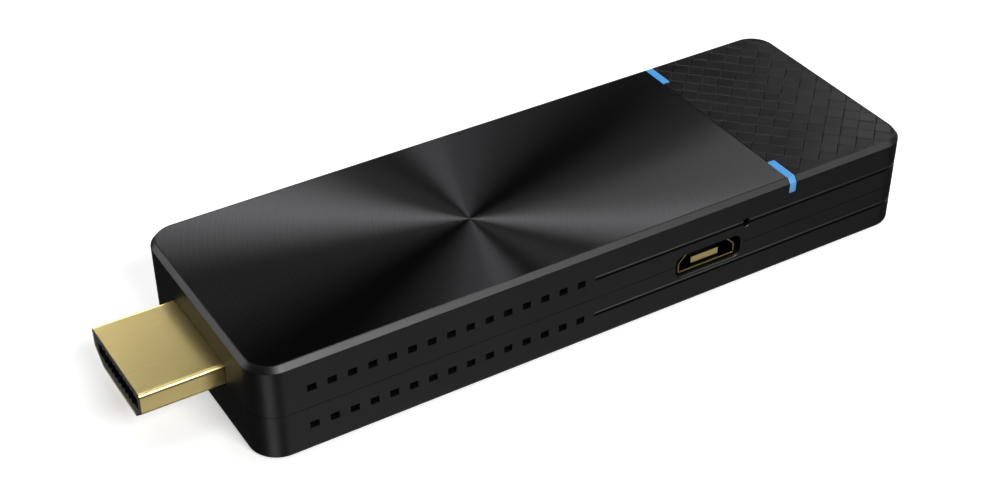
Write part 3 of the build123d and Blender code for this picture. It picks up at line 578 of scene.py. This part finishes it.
def casing_stations():
    """Places round the casing: x, y, the outward direction, and whether the grooves run there."""
    marks = []
    for i in range(VENT_COUNT):
        x = FRONT_X + FIRST_VENT + VENT_PITCH * i
        marks += [x - VENT_SIZE[0] / 2, x + VENT_SIZE[0] / 2]
    side = [(x, False) for x in marks]
    side += [(FRONT_X + GROOVE_START, False), (FRONT_X + GROOVE_START, True)]
    near = [(x, -HALF_WIDTH, 0.0, -1.0, grooved) for x, grooved in side]
    far = [(x, HALF_WIDTH, 0.0, 1.0, grooved) for x, grooved in reversed(side)]
    stations = list(near)
    for x, y, first, grooved in (
            (TAIL_X, -HALF_WIDTH, -90, True), (TAIL_X, HALF_WIDTH, 0, True),
            (FRONT_X, HALF_WIDTH, 90, False), (FRONT_X, -HALF_WIDTH, 180, False)):
        if (x, y) == (FRONT_X, HALF_WIDTH):
            stations += far
        centre_x = x - CORNER_RADIUS if x > 0 else x + CORNER_RADIUS
        centre_y = y - CORNER_RADIUS if y > 0 else y + CORNER_RADIUS
        for k in range(CORNER_STEPS + 1):
            angle = radians(first + 90 * k / CORNER_STEPS)
            nx, ny = cos(angle), sin(angle)
            stations.append((
                centre_x + CORNER_RADIUS * nx, centre_y + CORNER_RADIUS * ny, nx, ny, grooved))
    return stations


def groove_rows(ledge):
    """Rows down one groove: inset where it is plain, inset where it is grooved, and height."""
    bevel_in, bevel_rise = LEDGE_BEVEL
    vent_high = ledge - VENT_BELOW_LEDGE + VENT_SIZE[1] / 2
    foot = ledge - GROOVE_HEIGHT
    return [
        (0.0, 0.0, vent_high),
        (0.0, 0.0, ledge + bevel_rise),
        (0.0, bevel_in, ledge),
        (0.0, GROOVE_DEPTH, ledge),
        (0.0, GROOVE_DEPTH, foot),
        (0.0, 0.0, foot),
        (0.0, 0.0, vent_high - VENT_SIZE[1])]


VENT_ROWS = (0, 1, 2, 4, 6)                # rows of groove_rows that a vent reaches across


def plain(rows):
    return [(inset, inset, z) for inset, z in rows]


def open_vents(bm, grid, outer_rows, inner_rows, stations):
    """Cuts the vents: outer_rows and inner_rows hold a vent's rows of each skin, from the top down."""
    starts = [i for i, s in enumerate(stations[:-1]) if vent_starts(s, stations[i + 1])]
    for i in starts:
        for rows in (outer_rows, inner_rows):
            doomed = []
            for row in range(min(rows), max(rows)):
                shared = set(grid[row][i].link_faces) & set(grid[row + 1][i + 1].link_faces)
                doomed += list(shared)
            bmesh.ops.delete(bm, geom=doomed, context="FACES_ONLY")
        outward = Vector((0.0, stations[i][3], 0.0))
        loops = []
        for rows in (outer_rows, inner_rows):
            left = [grid[row][i] for row in rows]
            right = [grid[row][i + 1] for row in rows]
            loops.append(left + right[::-1])
        outside, inside = loops
        middle = sum((v.co for v in outside), Vector()) / len(outside)
        reach = VENT_SIZE[1] / 2 - VENT_EDGE
        mouth, back = [], []
        for front_corner, back_corner in zip(outside, inside):
            step = front_corner.co - middle
            shift_x = VENT_EDGE if step.x > 0 else -VENT_EDGE
            shift_z = step.z - max(-reach, min(reach, step.z))
            shift = Vector((shift_x, 0.0, shift_z))
            mouth.append(bm.verts.new(front_corner.co - shift - outward * VENT_EDGE))
            back.append(bm.verts.new(back_corner.co - shift))
        skin(bm, [outside, mouth, back, inside])


def vent_starts(here, ahead):
    """Whether a vent lies between two neighbouring stations."""
    width = abs(ahead[0] - here[0])
    return abs(here[3]) == 1.0 and here[3] == ahead[3] and abs(width - VENT_SIZE[0]) < MM / 1000


def casing_half(rows, outer_rows, inner_rows):
    """Solid through rows of (plain inset, grooved inset, height), closed at the first and last."""
    stations = casing_stations()
    bm = bmesh.new()
    grid = []
    for flat, grooved, z in rows:
        insets = [grooved if s[4] else flat for s in stations]
        grid.append(ring(bm, [(s[0] - s[2] * d, s[1] - s[3] * d, z) for s, d in zip(stations, insets)]))
    skin(bm, grid)
    bm.faces.new(grid[0])
    bm.faces.new(grid[-1])
    open_vents(bm, grid, outer_rows, inner_rows, stations)
    bmesh.ops.remove_doubles(bm, verts=bm.verts, dist=MM / 2000)
    return bm


def inner_vent_rows(last):
    """Rows of a vent inside the wall, from the top down; last is its lowest."""
    return [last + i for i in reversed(range(len(VENT_ROWS)))]


def vent_heights(ledge):
    """Heights of a vent's rows inside the wall, from the bottom up, level with those outside."""
    rows = groove_rows(ledge)
    return [rows[i][2] for i in VENT_ROWS[::-1]]


def casing_openings():
    """What is cut through both halves: plug, socket, pin hole and light guides."""
    bm = bmesh.new()
    flare = [(-THROUGH, MOUTH_EDGE + THROUGH), (MOUTH_EDGE, 0.0), (WALL + THROUGH, 0.0)]
    tube(bm, [along_x(plug_outline(PLUG_GAP + grow), FRONT_X + depth) for depth, grow in flare])
    tube(bm, [along_y(pocket_outline(grow), -HALF_WIDTH + depth) for depth, grow in flare])
    tube(bm, [along_y(pin_hole_outline(grow), -HALF_WIDTH + depth) for depth, grow in flare])
    guide_slots(bm)
    return bm


def guide_slots(bm):
    """Adds the slots that the two light guides sit in."""
    for side in (-1, 1):
        slot = guide_outline(side, FIT_GAP, THROUGH)
        tube(bm, [along_x(slot, x) for x in (GUIDE_LOW.x - FIT_GAP, GUIDE_HIGH.x + FIT_GAP)])


def upper_casing():
    rim_in, rim_down = RIM_CHAMFER
    recess = PANEL_INSET - FIT_GAP
    ledge = LEDGES[1]
    top_edge = ledge + LEDGE_BEVEL[1]
    rows = plain(rounded(
        [(recess, RECESS_Z), (recess, TOP_Z), (rim_in, TOP_Z), (0.0, TOP_Z - rim_down), (0.0, top_edge)],
        [0, RIM_EDGE, RIM_EDGE, RIM_BLEND, 0])[:-1])
    first = len(rows)
    rows += groove_rows(ledge)
    lip = LIP_INSET - FIT_GAP
    lip_top = SEAM_Z + LIP_HEIGHT + FIT_GAP
    rows += plain([(0.0, SEAM_Z), (lip, SEAM_Z), (lip, lip_top), (WALL, lip_top)])
    last = len(rows)
    rows += plain([(WALL, z) for z in vent_heights(ledge)] + [(WALL, RECESS_Z - TOP_PLATE)])
    blank = casing_half(rows, [first + i for i in VENT_ROWS], inner_vent_rows(last))
    opened = cut(blank, casing_openings())
    return piece(opened, "casing_top_half", FINISHES["casing_plastic"], "upper_casing")


def lower_casing():
    ledge = LEDGES[0]
    lip_top = SEAM_Z + LIP_HEIGHT
    rows = plain([(WALL, FLOOR_THICKNESS)] + [(WALL, z) for z in vent_heights(ledge)])
    gap_in, gap_high = SEAM_GAP
    rows += plain([(WALL, lip_top), (LIP_INSET, lip_top), (LIP_INSET, SEAM_Z), (gap_in, SEAM_Z),
                   (gap_in, SEAM_Z - gap_high), (0.0, SEAM_Z - gap_high)])
    first = len(rows)
    rows += groove_rows(ledge)
    rows += plain(arc((FOOT_RADIUS, FOOT_RADIUS), FOOT_RADIUS, 180, 270, 6))
    blank = casing_half(rows, [first + i for i in VENT_ROWS], inner_vent_rows(1))
    opened = cut(blank, casing_openings())
    return piece(opened, "casing_bottom_half", FINISHES["casing_plastic"], "lower_casing")


# Top panels and light guides

PANEL_CORNER_RADIUS = CORNER_RADIUS - PANEL_INSET
PANEL_SQUARE_CORNER = 0.08 * MM            # where the two panels meet
PANEL_EDGE = 0.06 * MM


def panel_rings(node, corner_radii):
    """Outlines of a top panel from its underside to the rounded edge of its face."""
    low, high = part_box(node)
    corners = [(low.x, low.y), (high.x, low.y), (high.x, high.y), (low.x, high.y)]
    levels = [(0.0, low.z)] + [
        (PANEL_EDGE * (1 - cos(radians(a))), high.z - PANEL_EDGE * (1 - sin(radians(a))))
        for a in (0, 30, 60, 90)]
    rings = []
    for inset, z in levels:
        outline = rounded(grown(corners, -inset), [max(r - inset, 0.01 * MM) for r in corner_radii], 12)
        rings.append([(x, y, z) for x, y in outline])
    return rings


def spun_panel():
    bm = bmesh.new()
    tube(bm, panel_rings("spun_panel", [
        PANEL_CORNER_RADIUS, PANEL_SQUARE_CORNER, PANEL_SQUARE_CORNER, PANEL_CORNER_RADIUS]))
    return piece(bm, "spun_top_panel", FINISHES["spun_black"], "spun_panel")


TILE = 2.072 * MM                          # side of one square tile; the rows run at 45 degrees
TILE_CORNER = (33.47 * MM, 3.85 * MM)      # where one tile has its corner nearest the plug
RISER_WIDTH = (0.12 * MM, 0.15 * MM)       # slanting face between rows, before low and high tiles
RISER_HEIGHT = (0.035 * MM, 0.05 * MM)
CREASE_WIDTH = (0.08 * MM, 0.13 * MM)      # between tiles of one row, shallow and deep by turns
CREASE_DEPTH = (0.05 * MM, 0.12 * MM)
SLOPE_PLACES = (0.35, 0.7)                 # shares of a tile where its slope has a point
SLOPE_HEIGHTS = (0.7, 0.35)                # and the share of the riser's height left there
FACET_ANGLE = 4                            # tiles meet at a few degrees and still look crisp


def tile_panel():
    """Panel of small square tiles laid like shingles: each slopes down to the next row's riser."""
    low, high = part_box("textured_panel")
    reach = int((high - low).length / TILE) + 2
    bm = bmesh.new()
    grid = []
    for j in range(-reach, reach):
        for part in range(4):
            row = []
            for i in range(-reach, reach):
                for column in range(4):
                    row.append(bm.verts.new(tile_point(i, column, j, part, high.z)))
            grid.append(row)
    skin(bm, grid, around=False)
    border = [e for e in bm.edges if e.is_boundary]
    sides = bmesh.ops.extrude_edge_only(bm, edges=border)["geom"]
    for made in sides:
        if isinstance(made, bmesh.types.BMVert):
            made.co.z = low.z - THROUGH
    foot = [made for made in sides if isinstance(made, bmesh.types.BMEdge) and made.is_boundary]
    bmesh.ops.contextual_create(bm, geom=foot)
    blank = bmesh.new()
    tube(blank, panel_rings("textured_panel", [
        PANEL_SQUARE_CORNER, PANEL_CORNER_RADIUS, PANEL_CORNER_RADIUS, PANEL_SQUARE_CORNER]))
    panel = cut(bm, blank, "INTERSECT")
    slots = bmesh.new()
    guide_slots(slots)
    return piece(
        cut(panel, slots), "tiled_tail_panel", FINISHES["tile_black"], "textured_panel", FACET_ANGLE)


def tile_point(i, column, j, part, top):
    """A point of tile (i, j): columns and parts 0 to 3 run across it and up the slope."""
    kind = (i + j) % 2
    deep = kind if column > 1 else 1 - kind
    half_crease = CREASE_WIDTH[deep] / 2
    across = (0.0, half_crease, TILE / 2, TILE - half_crease)[column]
    width = RISER_WIDTH[kind]
    up = (width / 2, TILE * SLOPE_PLACES[0], TILE * SLOPE_PLACES[1], TILE - width / 2)[part]
    height = RISER_HEIGHT[kind] * (1.0, *SLOPE_HEIGHTS, 0.0)[part]
    z = top - RISER_HEIGHT[1] + height
    if column == 0:
        z -= CREASE_DEPTH[deep]
    u, v = i * TILE + across, j * TILE + up
    return (TILE_CORNER[0] + (u + v) / sqrt(2), TILE_CORNER[1] + (v - u) / sqrt(2), z)


def light_guides():
    bm = bmesh.new()
    for side in (-1, 1):
        outline = guide_outline(side)
        tube(bm, [along_x(outline, x) for x in (GUIDE_LOW.x, GUIDE_HIGH.x)])
    bmesh.ops.recalc_face_normals(bm, faces=bm.faces)
    sharp = [e for e in bm.edges if e.calc_face_angle() > radians(20)]
    bmesh.ops.bevel(bm, geom=sharp, offset=GUIDE_EDGE, segments=3, profile=0.5, affect="EDGES")
    return piece(bm, "blue_light_strips", FINISHES["blue_guide"], "light_guides")


# Display plug

def sheet_tube(outline, profile, mouth, place):
    """Tube of sheet metal along an axis: profile goes from its outside, over its mouth, to its
    inside, as insets from the outline and depths behind the mouth."""
    bm = bmesh.new()
    rings = [ring(bm, place(outline(-inset), mouth + depth)) for inset, depth in profile]
    skin(bm, rings + [rings[0]])
    return bm


def plug_shell():
    depth = PLUG_END_X - PLUG_MOUTH_X
    profile = rounded(
        [(0.0, depth), (0.0, 0.0), (PLUG_SHEET, 0.0), (PLUG_SHEET, depth)],
        [0, PLUG_MOUTH_EDGE, PLUG_MOUTH_EDGE, 0])
    bm = sheet_tube(plug_outline, profile, PLUG_MOUTH_X, along_x)
    return piece(bm, "plug_shell_gold", FINISHES["gold_plate"], "plug_shell")


SLOT_WIDTH = 11.6 * MM
SLOT_HEIGHT = 1.6 * MM
SLOT_DEPTH = 7.5 * MM
SLOT_BELOW_TOP = 1.35 * MM
NOTCH = (0.5 * MM, 0.35 * MM)              # wide and deep
CONTACT_PITCH = 1.0 * MM
LOWER_CONTACTS, UPPER_CONTACTS = 9, 10


def slot_outline():
    """The plug's slot, with a notch over each contact of the upper row and under each lower one."""
    top = PLUG_TOP_Z - SLOT_BELOW_TOP
    points = []
    for count, z, way in ((LOWER_CONTACTS, top - SLOT_HEIGHT, 1), (UPPER_CONTACTS, top, -1)):
        points.append((-way * SLOT_WIDTH / 2, z))
        for i in range(count):
            y = way * (i - (count - 1) / 2) * CONTACT_PITCH
            left, right = y - way * NOTCH[0] / 2, y + way * NOTCH[0] / 2
            deep = z - way * NOTCH[1]
            points += [(left, z), (left, deep), (right, deep), (right, z)]
        points.append((way * SLOT_WIDTH / 2, z))
    return points


def plug_insulator():
    low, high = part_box("plug_insulator")
    bm = bmesh.new()
    tube(bm, [
        along_x(plug_outline(-PLUG_SHEET - CARRIER_EDGE), low.x),
        along_x(plug_outline(-PLUG_SHEET), low.x + CARRIER_EDGE),
        along_x(plug_outline(-PLUG_SHEET), high.x)])
    slot = bmesh.new()
    tube(slot, [along_x(slot_outline(), x) for x in (low.x - THROUGH, PLUG_MOUTH_X + SLOT_DEPTH)])
    return piece(cut(bm, slot), "plug_contact_carrier", FINISHES["insulator_black"], "plug_insulator")


# Power socket

def socket_shell():
    depth = SOCKET_HIGH.y - SOCKET_LOW.y
    profile = rounded(
        [(0.0, depth), (0.0, 0.0), (SOCKET_SHEET, 0.0), (SOCKET_SHEET, depth)],
        [0, SOCKET_LIP_RADIUS, SOCKET_LIP_RADIUS, 0])
    bm = sheet_tube(socket_outline, profile, SOCKET_LOW.y, along_y)
    return piece(bm, "socket_shell_gold", FINISHES["gold_plate"], "socket_shell")


upper_casing()
lower_casing()
spun_panel()
tile_panel()
light_guides()
plug_shell()
plug_insulator()
socket_shell()


# Floor, light and camera

STAGE_HALF = 3.0                           # metres, from the stick to the paper wall
STAGE_HEIGHT = 3.0


def stage_paper(name, faces):
    """A sheet of pale seamless paper on the stage, from the corners of its faces."""
    bm = bmesh.new()
    for corners in faces:
        bm.faces.new([bm.verts.new(corner) for corner in corners])
    mesh = bpy.data.meshes.new(name)
    bm.to_mesh(mesh)
    bm.free()
    paper = bpy.data.objects.new(name, mesh)
    bpy.context.scene.collection.objects.link(paper)
    mesh.materials.append(fine_surface(
        "matt_paper_rolled", ("#f0f0f0", "#f6f6f6"), 1 * MM, 0.01 * MM, (0.8, 0.9),
        mottle=60 * MM, Specular_IOR_Level=0.2,
        Emission_Color=linear("#ffffff"), Emission_Strength=0.45))
    # Out of the gloss, so that the reflections come from the softboxes alone
    paper.visible_glossy = False
    paper.visible_shadow = False
    return paper


def stage():
    """The floor, far larger than the view, and a paper wall round it that adds no light."""
    corners = [(-STAGE_HALF, -STAGE_HALF), (STAGE_HALF, -STAGE_HALF),
               (STAGE_HALF, STAGE_HALF), (-STAGE_HALF, STAGE_HALF)]
    stage_paper("studio_floor", [[(x, y, 0.0) for x, y in corners]])
    sides = zip(corners, corners[1:] + corners[:1])
    wall = stage_paper("studio_wall", [
        [(*near, 0.0), (*far, 0.0), (*far, STAGE_HEIGHT), (*near, STAGE_HEIGHT)] for near, far in sides])
    wall.visible_diffuse = False


LIGHT_DISTANCE = 0.8                       # metres


def softbox(name, azimuth, elevation, size, power):
    """Rectangular soft light aimed at the object. Azimuth runs from +X towards +Y, in degrees."""
    light = bpy.data.lights.new(name, "AREA")
    light.shape = "RECTANGLE"
    light.size, light.size_y = size
    light.energy = power
    lamp = bpy.data.objects.new(name, light)
    bpy.context.scene.collection.objects.link(lamp)
    turn, rise = radians(azimuth), radians(elevation)
    aim = Vector((cos(turn) * cos(rise), sin(turn) * cos(rise), sin(rise)))
    lamp.location = aim * LIGHT_DISTANCE
    lamp.rotation_euler = aim.to_track_quat("Z", "Y").to_euler()
    return lamp


stage()
softbox("near_key", 277, 38, (0.35, 0.30), 4.4)
softbox("near_right", 318, 26, (0.25, 0.28), 0.55)
softbox("low_right", 18, 20, (0.35, 0.30), 1.3)
softbox("mid_right", 30, 12, (0.30, 0.25), 1.15)
softbox("rear_right", 38, 8, (0.25, 0.25), 0.25)
softbox("rear", 86, 20, (0.25, 0.30), 1.3)
softbox("rear_left", 128, 18, (0.25, 0.30), 0.7)
softbox("far_left", 146, 14, (0.25, 0.30), 0.6)
softbox("overhead", 0, 88, (0.25, 0.25), 0.5)
softbox("high_right", 0, 45, (0.30, 0.30), 0.8)
softbox("high_rear", 54, 64, (0.25, 0.25), 0.4)
softbox("high_left", 180, 62, (0.25, 0.25), 0.3)
softbox("under_left", 225, -45, (0.30, 0.30), 0.5)
softbox("under_near", 283, -42, (0.22, 0.22), 0.13)
softbox("under_middle", 308, -36, (0.20, 0.20), 0.045)
softbox("under_right", 338, -63, (0.30, 0.30), 0.5)

world = bpy.data.worlds.new("studio")
world.use_nodes = True
background = world.node_tree.nodes["Background"]
background.inputs["Color"].default_value = linear("#ffffff")
background.inputs["Strength"].default_value = 0.03
bpy.context.scene.world = world
bpy.context.scene.view_settings.view_transform = "Standard"


CAMERA_AZIMUTH = -31.229                   # degrees from -Y, towards +X
CAMERA_ELEVATION = 38.022
CAMERA_ROLL = -0.164
CAMERA_DISTANCE = 203.368 * MM
CAMERA_AIM = Vector((-7.587, -11.738, 6.0)) * MM


def main_camera():
    """View from the plug end, over the near side, with the lens and aim that frame the stick."""
    camera = bpy.data.cameras.new("camera")
    camera.sensor_width = 36.0
    camera.lens = 63.697
    camera.shift_x = -0.0020
    camera.shift_y = 0.0598
    camera.clip_start = 0.01
    view = bpy.data.objects.new("camera", camera)
    bpy.context.scene.collection.objects.link(view)
    azimuth = radians(CAMERA_AZIMUTH)
    elevation = radians(CAMERA_ELEVATION)
    back = Vector((sin(azimuth) * cos(elevation), -cos(azimuth) * cos(elevation), sin(elevation)))
    view.location = CAMERA_AIM + back * CAMERA_DISTANCE
    turn = back.to_track_quat("Z", "Y").to_matrix().to_4x4()
    view.rotation_euler = (turn @ Matrix.Rotation(radians(CAMERA_ROLL), 4, "Z")).to_euler()
    bpy.context.scene.camera = view


main_camera()
